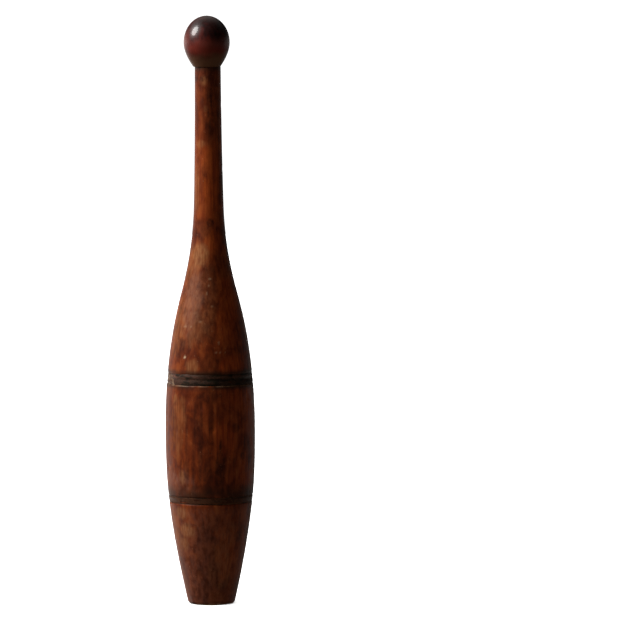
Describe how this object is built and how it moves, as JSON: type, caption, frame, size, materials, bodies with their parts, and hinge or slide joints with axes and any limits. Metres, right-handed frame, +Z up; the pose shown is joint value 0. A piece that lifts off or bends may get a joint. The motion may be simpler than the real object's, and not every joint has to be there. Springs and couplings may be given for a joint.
{
  "type": "juggling club",
  "caption": "Turned wooden juggling club: slim handle with a ball knob, long belly with blackened bands, tapered flat foot.",
  "frame": {"origin": "centre of the flat foot", "axes": "+Z up the club's axis from the foot to the knob; the ball knob sits a little to -X"},
  "size_m": [0.0776, 0.0776, 0.508],
  "materials": {
    "body_wood": "old semi-gloss shellac over reddish-brown turned hardwood, streaked along the grain and stained",
    "knob_wood": "hand-darkened mahogany-brown hardwood, glossy from handling",
    "black_lacquer": "thick black lacquer, dulled and chipped",
    "line_filling": "matte black filling in an incised line",
    "worn_lacquer": "black lacquer worn thin, with the wood showing through"
  },
  "bodies": {
    "root": {"club_body": "body_wood", "ball_knob": "knob_wood", "upper_band": "black_lacquer", "lower_band_top_line": "line_filling", "lower_band_strip": "worn_lacquer", "lower_band_bottom_line": "line_filling"}
  },
  "joints": []
}
